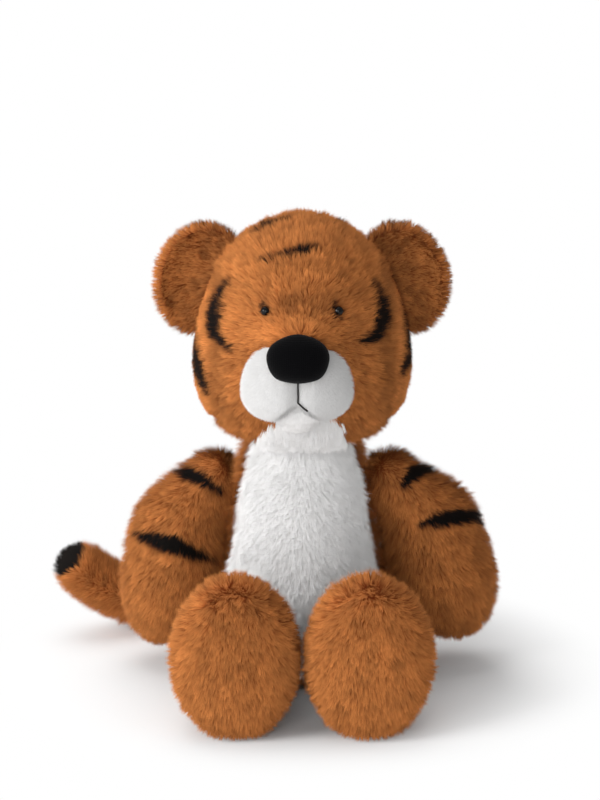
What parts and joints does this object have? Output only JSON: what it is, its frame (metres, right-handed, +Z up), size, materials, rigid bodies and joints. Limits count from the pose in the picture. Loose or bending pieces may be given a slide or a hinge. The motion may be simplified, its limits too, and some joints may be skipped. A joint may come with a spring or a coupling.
{
  "type": "plush toy",
  "caption": "Sitting plush tiger: stuffed body, turning head with folding ears, jointed arms, legs and tail, white belly, muzzle, bead eyes and black nose pad.",
  "frame": {"origin": "middle of the flat seat under the torso, on the plane that seat and legs rest on", "axes": "+Z up, the toy faces -Y, its own left is +X"},
  "size_m": [0.2331, 0.2033, 0.2415],
  "materials": {
    "orange_plush": "short orange plush pile, matte",
    "white_plush": "white plush pile, matte",
    "black_plush": "black plush pile, matte",
    "nose_knit": "matte black knit",
    "thread": "dark sewing thread",
    "eye_plastic": "polished black",
    "washer_plastic": "natural, matte",
    "fibre": "loose polyester fibre",
    "cotton": "woven cotton bag with pellets"
  },
  "bodies": {
    "torso": {"torso_skin": "orange_plush", "belly_panel": "white_plush", "torso_stuffing": "fibre", "seat_pellet_bag": "cotton"},
    "neck_seam": {"neck_seam": "thread"},
    "head": {"head_centre_panel": "orange_plush", "head_side_left": "orange_plush", "head_side_right": "orange_plush", "head_stuffing": "fibre", "muzzle": "white_plush", "chin_pad": "white_plush", "nose_pad": "nose_knit", "mouth_stitch": "thread", "eye_left": "eye_plastic", "eye_right": "eye_plastic", "eye_washer_left": "washer_plastic", "eye_washer_right": "washer_plastic"},
    "ear_left": {"ear_left_front": "orange_plush", "ear_left_back": "orange_plush"},
    "ear_right": {"ear_right_front": "orange_plush", "ear_right_back": "orange_plush"},
    "shoulder_seam_left": {"shoulder_seam_left": "thread"},
    "arm_left": {"arm_left_skin": "orange_plush", "arm_left_stuffing": "fibre"},
    "shoulder_seam_right": {"shoulder_seam_right": "thread"},
    "arm_right": {"arm_right_skin": "orange_plush", "arm_right_stuffing": "fibre"},
    "hip_seam_left": {"hip_seam_left": "thread"},
    "leg_left": {"leg_left_skin": "orange_plush", "foot_sole_left": "orange_plush", "leg_left_stuffing": "fibre"},
    "hip_seam_right": {"hip_seam_right": "thread"},
    "leg_right": {"leg_right_skin": "orange_plush", "foot_sole_right": "orange_plush", "leg_right_stuffing": "fibre"},
    "tail_seam": {"tail_seam": "thread"},
    "tail": {"tail_skin": "orange_plush", "tail_tip": "black_plush", "tail_stuffing": "fibre"}
  },
  "joints": [
    {"name": "neck_turn", "type": "hinge", "parent": "torso", "child": "neck_seam", "pos_m": [0, 0, 0.112], "axis": [0, 0, 1], "range_deg": [-35, 35]},
    {"name": "head_nod", "type": "hinge", "parent": "neck_seam", "child": "head", "pos_m": [0, 0, 0.112], "axis": [1, 0, 0], "range_deg": [-15, 15]},
    {"name": "ear_fold_left", "type": "hinge", "parent": "head", "child": "ear_left", "pos_m": [0.0485, 0.0025, 0.206], "axis": [0.2588, 0, -0.9659], "range_deg": [-10, 12]},
    {"name": "ear_fold_right", "type": "hinge", "parent": "head", "child": "ear_right", "pos_m": [-0.0485, 0.0025, 0.206], "axis": [0.2588, 0, 0.9659], "range_deg": [-10, 12]},
    {"name": "arm_roll_left", "type": "hinge", "parent": "torso", "child": "shoulder_seam_left", "pos_m": [0.0472, 0.008, 0.1], "axis": [0.4664, 0, -0.8846], "range_deg": [-10, 45]},
    {"name": "arm_lift_left", "type": "hinge", "parent": "shoulder_seam_left", "child": "arm_left", "pos_m": [0.0472, 0.008, 0.1], "axis": [0, -1, 0], "range_deg": [0, 75]},
    {"name": "arm_roll_right", "type": "hinge", "parent": "torso", "child": "shoulder_seam_right", "pos_m": [-0.0472, 0.008, 0.1], "axis": [0.3502, 0, 0.9367], "range_deg": [-10, 45]},
    {"name": "arm_lift_right", "type": "hinge", "parent": "shoulder_seam_right", "child": "arm_right", "pos_m": [-0.0472, 0.008, 0.1], "axis": [0, 1, 0], "range_deg": [0, 75]},
    {"name": "leg_raise_left", "type": "hinge", "parent": "torso", "child": "hip_seam_left", "pos_m": [0.0325, -0.042, 0.0265], "axis": [-1, 0, 0], "range_deg": [-35, 15]},
    {"name": "leg_splay_left", "type": "hinge", "parent": "hip_seam_left", "child": "leg_left", "pos_m": [0.0325, -0.042, 0.0265], "axis": [0, 0, 1], "range_deg": [0, 20]},
    {"name": "leg_raise_right", "type": "hinge", "parent": "torso", "child": "hip_seam_right", "pos_m": [-0.0325, -0.042, 0.0265], "axis": [-1, 0, 0], "range_deg": [-35, 15]},
    {"name": "leg_splay_right", "type": "hinge", "parent": "hip_seam_right", "child": "leg_right", "pos_m": [-0.0325, -0.042, 0.0265], "axis": [0, 0, -1], "range_deg": [0, 20]},
    {"name": "tail_swing", "type": "hinge", "parent": "torso", "child": "tail_seam", "pos_m": [0, 0.042, 0.0145], "axis": [0, 0, -1], "range_deg": [0, 90]},
    {"name": "tail_lift", "type": "hinge", "parent": "tail_seam", "child": "tail", "pos_m": [0, 0.042, 0.0145], "axis": [0, 1, 0], "range_deg": [0, 20]}
  ]
}
